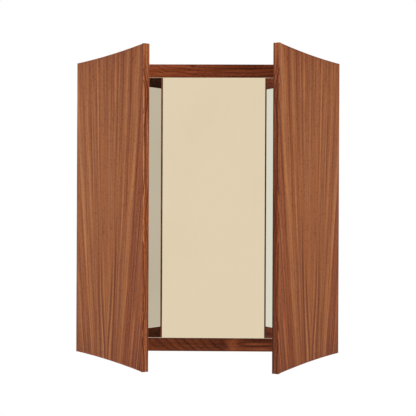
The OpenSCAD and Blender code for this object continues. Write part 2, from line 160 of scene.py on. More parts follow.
class Graph:
    """A node tree, with short ways to add nodes to it and join them."""

    def __init__(self, tree: Tree) -> None:
        """Keeps the tree that the nodes go into."""
        self.tree = tree

    def feed(self, socket: bpy.types.NodeSocket, value: Value) -> None:
        """Joins an input to a signal, or gives it a plain value.

        Args:
            socket: The input.
            value: A signal, a number, a vector or a colour.
        """
        if isinstance(value, Signal):
            self.tree.links.new(value.socket, socket)
        else:
            socket.default_value = value

    def node(self, kind: str, values: Feeds | None = None, **settings: object) -> bpy.types.Node:
        """Adds a node.

        Args:
            kind: Blender's name of the node type.
            values: What each input is fed, by the input's name or number.
            **settings: Properties of the node.

        Returns:
            The new node.
        """
        node = self.tree.nodes.new(kind)
        for name, setting in settings.items():
            setattr(node, name, setting)
        for key, value in (values or {}).items():
            self.feed(node.inputs[key], value)
        return node

    def signal(
        self, kind: str, values: Feeds | None = None, output: int | str = 0, **settings: object,
    ) -> Signal:
        """Adds a node as above, and gives the output of that name or number."""
        return Signal(self, self.node(kind, values, **settings).outputs[output])

    def math(self, operation: str, *values: Value, clamp: bool = False) -> Signal:
        """Adds a Math node, whose result is held between 0 and 1 if clamp is set."""
        return self.signal("ShaderNodeMath", dict(enumerate(values)), operation=operation, use_clamp=clamp)

    def bell(self, square: Signal) -> Signal:
        """Falls off from 1 in a bell's curve, by the square of the distance from its middle."""
        return self.math("EXPONENT", -square)

    def remap(self, value: Value, low: Value, high: Value, start: float = 0.0, end: float = 1.0) -> Signal:
        """Maps the range from low to high to the one from start to end, with a smooth start and end."""
        values = {"Value": value, "From Min": low, "From Max": high, "To Min": start, "To Max": end}
        return self.signal("ShaderNodeMapRange", values, interpolation_type="SMOOTHSTEP")

    def noise(self, vector: Value, layer: Layer, start: float = 0.0, end: float = 1.0) -> Signal:
        """Reads a layer of noise.

        Args:
            vector: Where it is read, with X and Y across the pattern and Z along it.
            layer: The layer.
            start: The result at the low end of the layer's kept range.
            end: The result at its high end.

        Returns:
            The noise.
        """
        cells = {0: vector, 1: (layer.across, layer.across, layer.along)}
        place = self.signal("ShaderNodeVectorMath", cells, operation="MULTIPLY")
        values = {"Vector": place, "Scale": 1.0, "Detail": layer.detail, "Roughness": layer.rough}
        noise = self.signal("ShaderNodeTexNoise", values)
        return self.remap(noise, *layer.kept, start, end) if layer.kept else noise

    def mix(self, factor: Value, first: Value, second: Value, blend: str = "MIX") -> Signal:
        """Mixes two colours, by how much of the second one shows."""
        values = {0: factor, 6: first, 7: second}
        return self.signal("ShaderNodeMix", values, 2, data_type="RGBA", blend_type=blend)

    def between(self, factor: Value, first: Value, second: Value) -> Signal:
        """Goes from one number to another, as the factor goes from 0 to 1."""
        return self.signal("ShaderNodeMix", {0: factor, 2: first, 3: second}, data_type="FLOAT")

    def ramp(self, factor: Value, stops: list[tuple[float, Rgba]]) -> Signal:
        """Turns a value into a colour by a colour ramp.

        Args:
            factor: The value.
            stops: Places from 0 to 1 and their colours, in order.

        Returns:
            The colour.
        """
        node = self.node("ShaderNodeValToRGB", {0: factor})
        elements = node.color_ramp.elements
        while len(elements) < len(stops):
            elements.new(1.0)
        for element, (place, colour) in zip(elements, stops):
            element.position = place
            element.color = colour
        return Signal(self, node.outputs[0])

    def parts(self, vector: Value) -> tuple[Signal, ...]:
        """Splits a vector into its X, Y and Z."""
        node = self.node("ShaderNodeSeparateXYZ", {0: vector})
        return tuple(Signal(self, output) for output in node.outputs)

    def vector(self, *values: Value) -> Signal:
        """Joins X, Y and Z into a vector."""
        return self.signal("ShaderNodeCombineXYZ", dict(enumerate(values)))

    def seen_from(
        self, vector: Value, place: Triple, turn: Triple = (0, 0, 0), scale: Triple = (1, 1, 1),
    ) -> Signal:
        """Gives coordinates as seen from a place, where the axes may be turned, stretched or flipped."""
        values = {"Vector": vector, "Location": place, "Rotation": turn, "Scale": scale}
        return self.signal("ShaderNodeMapping", values, vector_type="TEXTURE")

    def own(self, place: Triple = (0, 0, 0), turn: Triple = (0, 0, 0), scale: Triple = (1, 1, 1)) -> Signal:
        """Gives a piece's own coordinates, in metres, as seen from a place on it."""
        return self.seen_from(self.signal("ShaderNodeTexCoord", output="Object"), place, turn, scale)

    def effect(self, tree: Tree, **values: Value) -> dict[str, Signal]:
        """Places a shared effect.

        Args:
            tree: The effect's node group.
            **values: What its inputs are fed, with underscores for spaces.

        Returns:
            Its outputs by name.
        """
        inputs = {name.replace("_", " "): value for name, value in values.items()}
        node = self.node("ShaderNodeGroup", inputs, node_tree=tree)
        return {output.name: Signal(self, output) for output in node.outputs}


class Group(Graph):
    """The inside of a node group. Its sockets are numbers or, if called Vector, vectors."""

    def __init__(self, name: str, *inputs: str) -> None:
        """Starts the group.

        Args:
            name: The group's name.
            *inputs: The inputs' names.
        """
        super().__init__(bpy.data.node_groups.new(name, "ShaderNodeTree"))
        self.add_sockets("INPUT", inputs)
        node = self.node("NodeGroupInput")
        self.given = {label: Signal(self, node.outputs[label]) for label in inputs}

    def add_sockets(self, way: str, labels: Iterable[str]) -> None:
        """Adds sockets to the group.

        Args:
            way: INPUT or OUTPUT.
            labels: The sockets' names.
        """
        for label in labels:
            kind = "NodeSocketVector" if label == "Vector" else "NodeSocketFloat"
            self.tree.interface.new_socket(name=label, in_out=way, socket_type=kind)

    def layers(self, layers: dict[str, Layer]) -> dict[str, Signal]:
        """Reads named layers of noise at the group's Vector."""
        return {name: self.noise(self.given["Vector"], layer) for name, layer in layers.items()}

    def close(self, **outputs: Signal) -> Tree:
        """Ends the group.

        Args:
            **outputs: What it puts out, by name.

        Returns:
            The node group.
        """
        self.add_sockets("OUTPUT", outputs)
        self.node("NodeGroupOutput", outputs)
        return self.tree


class Surface(Graph):
    """A material with one Principled BSDF."""

    def __init__(self, name: str) -> None:
        """Starts the material.

        Args:
            name: The material's name.
        """
        self.material = bpy.data.materials.new(name)
        self.material.use_nodes = True
        self.material.node_tree.nodes.clear()
        super().__init__(self.material.node_tree)
        self.shader = self.node("ShaderNodeBsdfPrincipled")
        self.output = self.node("ShaderNodeOutputMaterial", {"Surface": Signal(self, self.shader.outputs[0])})

    def set(self, **values: Value) -> None:
        """Feeds the shader's inputs, which are named with underscores for spaces."""
        for name, value in values.items():
            self.feed(self.shader.inputs[name.replace("_", " ")], value)


# ---- shared effects ----


FIBRE_LAYERS = {
    "Streak": Layer(across=105, along=2.6, detail=3, rough=0.6, kept=(0.25, 0.75)),
    "Fleck": Layer(across=230, along=5, detail=2, rough=0.6, kept=(0.46, 0.74)),
    "Dash": Layer(across=320, along=190, kept=(0.52, 0.74)),
    "Fibre": Layer(across=620, along=9, detail=2, kept=(0.25, 0.75)),
    "Pore": Layer(across=950, along=100, kept=(0.62, 0.72)),
    "Hue": Layer(across=60, along=3, detail=3, rough=0.6, kept=(0.25, 0.75)),
}
FAN_SWAY = Layer(across=3, along=2.2)
RING_WANDER = Layer(across=18, along=11, detail=3, rough=0.55)
RING_YEAR = Layer(across=0.73, along=1, detail=0, kept=(0.25, 0.7))
RING_BAND = Layer(across=0.31, along=1)
FAINTEST_RING = 0.35
RING_CLOSING = 0.93
BROKEN_WEAR = Layer(across=55, along=55, detail=3, kept=(0.35, 0.65))
PATCHY_DUST = Layer(across=70, along=70, detail=4, rough=0.6, kept=(0.25, 0.80))
DUST_SLOPES = (0.6, 0.95)
METAL_LAYERS = {
    "Lines": Layer(across=4200, along=60),
    "Clouds": Layer(across=140, along=90, detail=3, kept=(0.3, 0.7)),
}


@cache
def fibre_effect() -> Tree:
    """Builds wood fibre: streaks, flecks, dashes, fine fibre, open pores and changes of hue along Z."""
    group = Group("Wood fibre", "Vector")
    return group.close(**group.layers(FIBRE_LAYERS))


@cache
def fan_effect() -> Tree:
    """Builds fanned grain: streaks that draw together towards the bottom, and meet at the middle there.

    Beyond the edges of the fan they run beside its edges, and don't draw together any more.

    Returns:
        The node group.
    """
    group = Group("Fanned grain", "Vector", "stretch", *(item.name.replace("_", " ") for item in fields(Fan)))
    given = group.given
    across, depth, up = group.parts(given["Vector"])
    down = 0.5 - up / given["half height"] * 0.5
    sway = (group.noise(given["Vector"], FAN_SWAY) - 0.5) * given["sway"]
    aside = (across + sway - given["centre"]) / given["stretch"]
    narrowing = 1.0 - (given["curve"] * down + given["lean"]) * down
    edge = given["edge"] * narrowing
    inside = group.math("MAXIMUM", group.math("MINIMUM", aside, edge), -edge)
    fanned = inside / narrowing + (aside - inside)
    share = group.math("MINIMUM", group.math("ABSOLUTE", fanned) / given["pinch width"], 1.0)
    squeeze = group.remap(down, given["pinch start"], 1.0) * given["pinch"]
    spread = share ** (1.0 - squeeze) - share
    pinched = spread * (group.math("SIGN", fanned) * given["pinch width"]) + fanned
    return group.close(Vector=group.vector(pinched, depth, up), Across=pinched, Down=down)


@cache
def stripe_effect() -> Tree:
    """Builds a soft stripe: a mask about one place across, which fades in and out again on the way down.

    Returns:
        The node group.
    """
    group = Group("Soft stripe", "Across", "Down", "Place", "Before", "After", "Start", "End", "Fading")
    given = group.given
    offset = given["Across"] - given["Place"]
    away = offset / group.between(group.math("GREATER_THAN", offset, 0.0), given["Before"], given["After"])
    since, until = ((given["Down"] - given[place]) / given["Fading"] for place in ("Start", "End"))
    shown = group.remap(since, -1.0, 1.0) * group.remap(until, -1.0, 1.0, 1.0, 0.0)
    return group.close(Mask=group.bell(away * away) * shown)


@cache
def patch_effect() -> Tree:
    """Builds a soft patch: a long oval mask about one place on a board.

    Returns:
        The node group.
    """
    group = Group("Soft patch", "Across", "Along", "Place across", "Place along", "Half width", "Half length")
    given = group.given
    aside = (given["Across"] - given["Place across"]) / given["Half width"]
    beyond = (given["Along"] - given["Place along"]) / given["Half length"]
    return group.close(Mask=group.bell(aside * aside + beyond * beyond))


@cache
def ring_effect() -> Tree:
    """Builds growth rings: dark late wood that builds up slowly and ends sharply, once for each spacing.

    Returns:
        The node group.
    """
    group = Group("Growth rings", "Vector", "Distance", "Spacing", "Wander", "Sharpness")
    given = group.given
    wander = (group.noise(given["Vector"], RING_WANDER) - 0.5) * given["Wander"]
    turns = (wander + given["Distance"]) / given["Spacing"]
    within = group.math("FRACT", turns)
    ending = group.remap(within, RING_CLOSING, 1.0, 1.0, 0.0)
    year = group.noise(group.vector(group.math("FLOOR", turns), 0.0, 0.0), RING_YEAR, FAINTEST_RING)
    band = group.noise(group.vector(turns, 0.0, 0.0), RING_BAND)
    return group.close(Line=within ** given["Sharpness"] * ending * year, Band=band)


@cache
def wear_effect() -> Tree:
    """Builds edge wear: a broken mask on the eased edges of a piece.

    Returns:
        The node group.
    """
    group = Group("Edge wear", "Vector", "Amount")
    edge = group.signal("ShaderNodeAttribute", output="Fac", attribute_name=EASED_EDGE)
    return group.close(Mask=edge * group.noise(group.given["Vector"], BROKEN_WEAR) * group.given["Amount"])


@cache
def dust_effect() -> Tree:
    """Builds dust: a patchy mask on faces that look up.

    Returns:
        The node group.
    """
    group = Group("Dust", "Vector", "Amount")
    upward = group.parts(group.signal("ShaderNodeNewGeometry", output="True Normal"))[2]
    lying = group.remap(upward, *DUST_SLOPES)
    return group.close(Mask=lying * group.noise(group.given["Vector"], PATCHY_DUST) * group.given["Amount"])


@cache
def rubbed_effect() -> Tree:
    """Builds rubbed metal: fine brush lines along Z and cloudy patches of tarnish."""
    group = Group("Rubbed metal", "Vector")
    return group.close(**group.layers(METAL_LAYERS))


# ---- woods ----


@dataclass(frozen=True)
class Relief:
    """How deep a surface's fine pattern is cut."""

    strength: float
    depth: float

    def normal(self, surface: Surface, height: Value) -> Signal:
        """Makes a bumped normal from a height pattern that runs from 0 to 1."""
        values = {"Strength": self.strength, "Distance": self.depth, "Height": height}
        return surface.signal("ShaderNodeBump", values)


@dataclass(frozen=True)
class Texture:
    """How strongly a wood's tone follows its fibre, about a mean tone."""

    mean: float
    streak: float
    fibre: float
    dash: float = 0.0

    def tone(self, fibre: dict[str, Signal]) -> Signal:
        """Works out the tone, from 0, the darkest wood, to 1, the lightest."""
        grown = (fibre["Streak"] - 0.5) * self.streak + (fibre["Fibre"] - 0.5) * self.fibre
        return grown + self.mean - fibre["Dash"] * self.dash


@dataclass(frozen=True)
class Timber:
    """A wood's colours, drift of hue, gloss, wear and dust, and how they become a surface."""

    light: Rgb
    middle: Rgb
    dark: Rgb
    pore: Rgb
    pore_depth: float = 0.55
    gloss: tuple[float, float] = (0.40, 0.52)
    specular: float = 0.15
    wear: float = 0.30
    dust: float = 0.10
    dust_rough: float = 0.3
    relief: Relief = Relief(0.25, 0.12 * MM)
    drift: float = 0.20

    def dress(self, surface: Surface, vector: Signal, tone: Signal, fibre: dict[str, Signal]) -> Signal:
        """Turns a tone and its fibre into the wood's surface.

        Args:
            surface: The material.
            vector: The pattern's coordinates.
            tone: From 0, the darkest wood, to 1, the lightest.
            fibre: The wood fibre effect.

        Returns:
            The base colour.
        """
        stops = [(0.0, linear(self.dark)), (0.5, linear(self.middle)), (1.0, linear(self.light))]
        orange = (1 + self.drift / 4, 1.0, 1 - self.drift, 1.0)
        purple = (1 - self.drift / 4, 1.0, 1 + self.drift, 1.0)
        hue = surface.mix(fibre["Hue"], orange, purple)
        grown = surface.mix(1.0, surface.ramp(tone, stops), hue, "MULTIPLY")
        bare = surface.mix(fibre["Pore"] * self.pore_depth, grown, linear(self.pore))
        worn = surface.effect(wear_effect(), Vector=vector, Amount=self.wear)["Mask"]
        dusty = surface.effect(dust_effect(), Vector=vector, Amount=self.dust)["Mask"]
        colour = surface.mix(dusty, surface.mix(worn, bare, linear(self.light)), linear(DUST))
        surface.set(
            Base_Color=colour,
            Specular_IOR_Level=self.specular,
            Roughness=surface.remap(fibre["Fibre"], 0.0, 1.0, *self.gloss) + dusty * self.dust_rough,
            Normal=self.relief.normal(surface, fibre["Fibre"] - fibre["Pore"]),
        )
        return colour


@dataclass(frozen=True)
class Streak:
    """One streak of the veneer's figure.

    Its place is where it crosses the top edge, its width is how far it fades before that place, and
    after it too where no other width is given. It shows from start to end of the way down.
    """

    place: float
    width: float
    tone: float
    start: float = -1.0
    end: float = 2.0
    after: float | None = None

    def mask(self, surface: Surface, across: Signal, down: Signal, fading: float) -> Signal:
        """Makes the streak's mask, which takes a share of the way down to fade in and out."""
        return surface.effect(
            stripe_effect(), Across=across, Down=down, Place=self.place, Before=self.width,
            After=self.after or self.width, Start=self.start, End=self.end, Fading=fading,
        )["Mask"]


@dataclass(frozen=True)
class Patch:
    """A lighter or darker patch of a board, such as the wood about a knot.

    Its place is down and along the board from the middle of its pattern.
    """

    across: float
    along: float
    half_width: float
    half_length: float
    tone: float

    def mask(self, surface: Surface, across: Signal, along: Signal) -> Signal:
        """Makes the patch's mask."""
        return surface.effect(
            patch_effect(), Across=across, Along=along, Place_across=self.across, Place_along=self.along,
            Half_width=self.half_width, Half_length=self.half_length,
        )["Mask"]


@dataclass(frozen=True)
class Fan:
    """How the veneer's grain fans out from the bottom, about its centre."""

    centre: float
    edge: float
    half_height: float
    lean: float
    curve: float
    sway: float
    pinch: float
    pinch_width: float
    pinch_start: float


@dataclass(frozen=True)
class Veneer:
    """Fanned walnut veneer on the outside of a shutter, book-matched apart from a few streaks of each side.

    Short dark flecks get stronger where the grain gathers, both ends are darker than the middle, and
    the wood beyond the free edge and the hinge edge is shaded. Beyond the hinge edge that darkening is
    partly painted light: on the left door, where light falls from the left, it is nearly left off.
    """

    timber: Timber
    corner: Rgb
    fan: Fan
    right_stretch: float
    streaks: tuple[Streak, ...]
    side_streaks: dict[Side, tuple[Streak, ...]]
    hinge_shade: dict[Side, float]
    hinge_edge: tuple[float, float] = (-0.184, -0.176)
    free_shade: float = 0.7
    free_edge: tuple[float, float] = (0.168, 0.178)
    texture: Texture = Texture(mean=0.60, streak=0.28, fibre=0.24, dash=0.34)
    fleck: float = 0.42
    gathered_fleck: float = 0.45
    gathering: tuple[float, float] = (0.55, 0.90)
    end_shade: float = 0.14
    end_power: float = 8.0
    fading: float = 0.12
    patchy: Layer = Layer(across=40, along=5, kept=(0.3, 0.6))
    faintest: float = 0.55

    def material(self, name: str, hinge: "Hinge") -> Material:
        """Builds the material of one shutter.

        Args:
            name: The material's name.
            hinge: The shutter's hinge, which the figure is measured from.

        Returns:
            The material.
        """
        surface = Surface(name)
        stretch = self.right_stretch if hinge.side is Side.RIGHT else 1.0
        fan = surface.effect(fan_effect(), Vector=hinge.pattern(surface), stretch=stretch, **asdict(self.fan))
        vector, across, down = fan["Vector"], fan["Across"], fan["Down"]
        fibre = surface.effect(fibre_effect(), Vector=vector)
        fleck = surface.remap(down, *self.gathering) * self.gathered_fleck + self.fleck
        ends = (down * 2.0 - 1.0) ** self.end_power
        tone = self.texture.tone(fibre) - fibre["Fleck"] * fleck - ends * self.end_shade
        strength = surface.noise(vector, self.patchy, self.faintest)
        for streak in self.streaks + self.side_streaks[hinge.side]:
            tone = streak.mask(surface, across, down, self.fading) * (strength * streak.tone) + tone
        plain = self.timber.dress(surface, vector, tone, fibre)
        free_corner = surface.remap(across, *self.free_edge, 0.0, self.free_shade)
        # Painted light: the hinge-side darkening is nearly left off the left door, which light falls on from
        # the left.
        hinge_corner = surface.remap(across, *self.hinge_edge, self.hinge_shade[hinge.side], 0.0)
        shaded = surface.mix(free_corner + hinge_corner, plain, linear(self.corner), "MULTIPLY")
        surface.set(Base_Color=shaded)
        return surface.material


@dataclass(frozen=True)
class StraightRings:
    """Growth rings that run straight along a board's face, and lean through its depth."""

    lean: float = 0.6

    def distance(self, graph: Graph, vector: Signal) -> Signal:
        """How far each point is across the rings, with X across the board, Y its depth and Z along it."""
        across, depth, _ = graph.parts(vector)
        return across + depth * self.lean


@dataclass(frozen=True)
class WavyRings(StraightRings):
    """Rings that sway slowly from side to side."""

    wave: Layer = Layer(across=0.5, along=5)
    sway: float = 0.05

    def distance(self, graph: Graph, vector: Signal) -> Signal:
        """How far each point is across the rings."""
        return super().distance(graph, vector) + graph.noise(vector, self.wave) * self.sway


@dataclass(frozen=True)
class DiagonalRings(StraightRings):
    """Rings that slant down the whole board."""

    slope: float = 0.55

    def distance(self, graph: Graph, vector: Signal) -> Signal:
        """How far each point is across the rings."""
        return super().distance(graph, vector) + graph.parts(vector)[2] * self.slope


@dataclass(frozen=True)
class SteppedRings(StraightRings):
    """Rings that shift across the board in steps, each from one place to another along it, by a size."""

    steps: tuple[Triple, ...] = ((-0.145, -0.112, 0.012), (-0.10, 0.0, 0.014))

    def distance(self, graph: Graph, vector: Signal) -> Signal:
        """How far each point is across the rings.

        Args:
            graph: The material's graph.
            vector: Coordinates with X across the board, Y its depth and Z along the grain.

        Returns:
            The distance.
        """
        result, along = super().distance(graph, vector), graph.parts(vector)[2]
        for start, end, size in self.steps:
            result = result - graph.remap(along, start, end, 0.0, size)
        return result


@dataclass(frozen=True)
class EyeRings:
    """Rings that slant down a board in a bend, and close to a long eye towards its end."""

    slope: float = 0.75
    bend: float = 340.0
    bend_across: float = -0.018
    eye_across: float = -0.003
    eye_along: float = 0.175
    eye_flatness: float = 0.07
    eye_rings: float = 4.0
    turning: tuple[float, float] = (0.060, 0.085)

    def distance(self, graph: Graph, vector: Signal) -> Signal:
        """How far each point is across the rings.

        Args:
            graph: The material's graph.
            vector: Coordinates with X across the board, Y its depth and Z along the grain.

        Returns:
            The distance.
        """
        across, _, along = graph.parts(vector)
        slanted = along - across * self.slope - (across - self.bend_across) ** 3.0 * self.bend
        aside = (along - self.eye_along) * self.eye_flatness
        below = across - self.eye_across
        eye = graph.math("SQRT", aside * aside + below * below) * self.eye_rings
        return graph.between(graph.remap(along, *self.turning), slanted, eye)


@dataclass(frozen=True)
class SolidWalnut:
    """Solid walnut with growth rings, and with patches where a board has them."""

    timber: Timber
    rings: StraightRings | EyeRings
    spacing: float
    wander: float
    ring_depth: float = 0.75
    fall: float = 0.0
    grain: Grain = Grain.UPRIGHT
    sharpness: float = 3.5
    texture: Texture = Texture(mean=0.60, streak=0.40, fibre=0.20, dash=0.20)
    band: float = 0.8
    fleck: float = 0.0
    mean_fleck: float = 0.25
    patches: tuple[Patch, ...] = ()

    def material(self, name: str, location: Triple, hinge: "Hinge | None" = None) -> Material:
        """Builds the material of one board.

        Args:
            name: The material's name.
            location: The middle of the board's pattern.
            hinge: The hinge of the shutter that the board belongs to, if it does.

        Returns:
            The material.
        """
        surface = Surface(name)
        if hinge is None:
            vector = surface.own(location, self.grain.value)
        else:
            vector = hinge.pattern(surface, location, self.grain)
        fibre = surface.effect(fibre_effect(), Vector=vector)
        rings = surface.effect(
            ring_effect(), Vector=vector, Distance=self.rings.distance(surface, vector),
            Spacing=self.spacing, Wander=self.wander, Sharpness=self.sharpness,
        )
        across, _, along = surface.parts(vector)
        flecked = self.texture.tone(fibre) - (fibre["Fleck"] - self.mean_fleck) * self.fleck
        ringed = flecked + (rings["Band"] - 0.5) * self.band - rings["Line"] * self.ring_depth
        tone = ringed + along * self.fall
        for patch in self.patches:
            tone = patch.mask(surface, across, along) * patch.tone + tone
        self.timber.dress(surface, vector, tone, fibre)
        return surface.material


@dataclass(frozen=True)
class PlainTimber:
    """A pale, plain wood of the parts behind the mirror, in plies if it is a board."""

    timber: Timber
    grain: Grain
    ply: float = 0.0
    ply_shade: float = 0.35
    texture: Texture = Texture(mean=0.5, streak=0.5, fibre=0.3)

    def material(self, name: str, location: Triple) -> Material:
        """Builds the material.

        Args:
            name: The material's name.
            location: The middle of the pattern.

        Returns:
            The material.
        """
        surface = Surface(name)
        vector = surface.own(location, self.grain.value)
        fibre = surface.effect(fibre_effect(), Vector=vector)
        tone = self.texture.tone(fibre)
        if self.ply:
            layer = surface.parts(vector)[1] / (2 * self.ply)
            crossing = surface.math("GREATER_THAN", surface.math("FRACT", layer), 0.5)
            tone = tone - crossing * self.ply_shade
        self.timber.dress(surface, vector, tone, fibre)
        return surface.material


# ---- metal, mirror and plain finishes ----


@dataclass(frozen=True)
class Metal:
    """A rubbed metal with patches of tarnish, which is worn off its edges."""

    bright: Rgb
    dull: Rgb
    gloss: tuple[float, float]
    relief: Relief = Relief(0.15, 0.03 * MM)
    wear: float = 0.8
    line_rough: float = 0.12

    def material(self, name: str) -> Material:
        """Builds the material.

        Args:
            name: The material's name.

        Returns:
            The material.
        """
        surface = Surface(name)
        vector = surface.own()
        rubbed = surface.effect(rubbed_effect(), Vector=vector)
        lines, clouds = rubbed["Lines"], rubbed["Clouds"]
        worn = surface.effect(wear_effect(), Vector=vector, Amount=self.wear)["Mask"]
        tarnish = surface.math("SUBTRACT", clouds, worn, clamp=True)
        surface.set(
            Base_Color=surface.mix(tarnish, linear(self.bright), linear(self.dull)),
            Metallic=1.0,
            Roughness=lines * self.line_rough + surface.remap(clouds, 0.0, 1.0, *self.gloss),
            Normal=self.relief.normal(surface, lines),
        )
        return surface.material


@dataclass(frozen=True)
class Silvering:
    """Silvered or ground glass, faintly hazy.

    Where mirrors face each other, past the last bounce it stops reflecting and glows with a plain tone
    instead, a painted reflection of the room; its base colour turns black there.
    """

    colour: Rgb
    haze: Rgb
    deepest: Rgb
    gloss: tuple[float, float] = (0.004, 0.02)
    last_bounce: int = 4
    clouds: Layer = Layer(across=5, along=4, detail=3, kept=(0.45, 0.75))

    def material(self, name: str) -> Material:
        """Builds the material.

        Args:
            name: The material's name.

        Returns:
            The material.
        """
        surface = Surface(name)
        haze = surface.noise(surface.own(), self.clouds)
        bounces = surface.signal("ShaderNodeLightPath", output="Glossy Depth")
        # Painted reflection: past the last bounce the glass emits a plain pale tone instead of reflecting.
        spent = surface.math("GREATER_THAN", bounces, self.last_bounce - 0.5)
        silver = surface.mix(haze, linear(self.colour), linear(self.haze))
        surface.set(
            Base_Color=surface.mix(spent, silver, BLACK),
            Metallic=1.0,
            Roughness=surface.remap(haze, 0.0, 1.0, *self.gloss),
            Emission_Color=surface.mix(spent, BLACK, linear(self.deepest)),
            Emission_Strength=1.0,
        )
        surface.material.cycles.emission_sampling = "NONE"
        return surface.material


@dataclass(frozen=True)
class Coating:
    """A plain finish that isn't wood or metal, mottled on a scale of its own."""

    light: Rgb
    dark: Rgb
    cells: float
    gloss: tuple[float, float]
    relief: Relief
    sheen: float = 0.0
    spread: tuple[float, float] = (0.3, 0.7)

    def material(self, name: str) -> Material:
        """Builds the material.

        Args:
            name: The material's name.

        Returns:
            The material.
        """
        surface = Surface(name)
        mottle = surface.noise(surface.own(), Layer(self.cells, self.cells, detail=3, rough=0.6))
        lightness = surface.remap(mottle, *self.spread)
        surface.set(
            Base_Color=surface.mix(lightness, linear(self.dark), linear(self.light)),
            Roughness=surface.remap(mottle, *self.spread, *self.gloss),
            Normal=self.relief.normal(surface, mottle),
            Sheen_Weight=self.sheen,
        )
        return surface.material


# ---- the object's own finishes ----


SHUTTER_TIMBER = Timber(light=(177, 115, 68), middle=(146, 83, 44), dark=(110, 50, 21), pore=(80, 34, 16))
FRAME_TIMBER = Timber(
    light=(152, 79, 49), middle=(117, 54, 29), dark=(66, 25, 7), pore=(48, 18, 6), specular=0.08,
)
RAIL_TIMBER = Timber(
    light=(164, 88, 52), middle=(115, 57, 34), dark=(60, 26, 13), pore=(46, 19, 10), specular=0.08,
)
LEFT_EDGE_TIMBER = Timber(light=(192, 124, 76), middle=(132, 68, 38), dark=(86, 33, 15), pore=(66, 25, 12))
RIGHT_EDGE_TIMBER = Timber(light=(154, 89, 52), middle=(101, 46, 23), dark=(64, 22, 9), pore=(48, 17, 8))
# Painted shade and light: the left shutter's inner face has a much darker copy of the inner walnut, standing
# in for the shadow it lies in, and the right shutter's a lighter copy, for the light that falls on it.
LEFT_INNER_PAINTED_SHADE_TIMBER = Timber(
    light=(92, 46, 26), middle=(64, 30, 16), dark=(40, 17, 8), pore=(26, 12, 7), specular=0.04,
)
RIGHT_INNER_PAINTED_LIGHT_TIMBER = Timber(
    light=(160, 80, 50), middle=(128, 60, 36), dark=(72, 28, 16), pore=(46, 18, 11), specular=0.06,
)
BEECH_TIMBER = Timber(
    light=(222, 184, 142), middle=(205, 164, 120), dark=(176, 132, 92), pore=(150, 104, 70), wear=0.1,
)
PLY_TIMBER = Timber(
    light=(220, 190, 146), middle=(204, 170, 124), dark=(172, 134, 90), pore=(150, 112, 74), wear=0.1,
)

SHUTTER_VENEER = Veneer(
    timber=SHUTTER_TIMBER,
    corner=(232, 208, 204),
    fan=Fan(
        centre=0.168, edge=0.172, half_height=0.400, lean=0.42, curve=0.14, sway=0.006,
        pinch=0.72, pinch_width=0.066, pinch_start=0.70,
    ),
    right_stretch=1.08,
    # Painted light: the left door keeps hardly any hinge-side darkening, for the light falling on it from the
    # left.
    hinge_shade={Side.LEFT: 0.10, Side.RIGHT: 0.80},
    streaks=(
        Streak(-0.172, 0.006, 0.32, after=0.024),
        Streak(-0.117, 0.0035, 0.36, end=0.60),
        Streak(-0.089, 0.003, 0.24, end=0.60),
        Streak(-0.055, 0.003, 0.42, end=0.50),
        Streak(-0.029, 0.004, 0.20, end=0.35),
        Streak(0.013, 0.005, 0.08, end=0.45),
        Streak(0.041, 0.003, 0.26, end=0.60),
        Streak(0.064, 0.003, 0.14, end=0.55),
        Streak(0.103, 0.005, 0.28, end=0.58),
        Streak(0.092, 0.006, 0.18, start=0.68),
        Streak(0.160, 0.026, 0.26, after=0.007),
        Streak(-0.140, 0.005, -0.18, end=0.45),
        Streak(-0.095, 0.006, -0.24, end=0.28),
        Streak(-0.045, 0.004, -0.18, end=0.40),
        Streak(-0.001, 0.006, -0.22, end=0.26),
        Streak(0.031, 0.004, -0.22, end=0.30),
        Streak(0.055, 0.004, -0.16, end=0.45),
        Streak(0.080, 0.007, -0.28, end=0.30),
        Streak(0.125, 0.006, -0.36, end=0.55),
        Streak(0.177, 0.004, -0.30, end=0.50, after=0.005),
        Streak(0.199, 0.005, 0.16, start=0.15, end=0.55),
        Streak(0.182, 0.006, -0.24, start=0.45, after=0.012),
        Streak(0.207, 0.0025, -0.56, start=0.45, end=0.78),
        Streak(0.2175, 0.003, 0.26, start=0.82),
        Streak(0.232, 0.004, -0.22, start=0.80),
        Streak(0.2475, 0.0022, 0.52, start=0.76),
        Streak(0.2535, 0.003, -0.30, start=0.76),
        Streak(0.264, 0.008, -0.40, start=0.88, after=0.030),
        Streak(-0.183, 0.010, -0.20, start=0.50, after=0.006),
        Streak(-0.213, 0.003, -0.24, start=0.62),
        Streak(-0.221, 0.002, 0.26, start=0.80),
        Streak(-0.120, 0.006, -0.40, start=0.80),
        Streak(0.112, 0.005, -0.32, start=0.66),
        Streak(-0.103, 0.005, 0.24, start=0.80),
        Streak(-0.070, 0.006, -0.85, start=0.68, after=0.004),
        Streak(-0.046, 0.006, -0.85, start=0.74, after=0.005),
        Streak(0.041, 0.005, -0.85, start=0.74, after=0.006),
        Streak(0.065, 0.004, -0.85, start=0.64, after=0.006),
        Streak(-0.058, 0.004, 0.56, start=0.72),
        Streak(0.054, 0.004, 0.56, start=0.72),
        Streak(-0.027, 0.006, 0.22, start=0.70),
        Streak(0.024, 0.006, 0.22, start=0.70),
    ),
    side_streaks={
        Side.LEFT: (
            Streak(0.160, 0.020, -0.14, end=0.25),
            Streak(0.135, 0.020, -0.10, start=0.36, end=0.56),
            Streak(0.205, 0.030, 0.06, start=0.50),
            Streak(0.000, 0.060, 0.06, start=0.68),
        ),
        Side.RIGHT: (
            Streak(-0.140, 0.035, -0.12, start=0.12, end=0.66),
            Streak(-0.190, 0.020, -0.06, start=0.45, end=0.75),
            Streak(0.197, 0.018, 0.24, start=0.50, end=0.80),
            Streak(-0.080, 0.040, -0.10, start=0.85),
        ),
    },
)
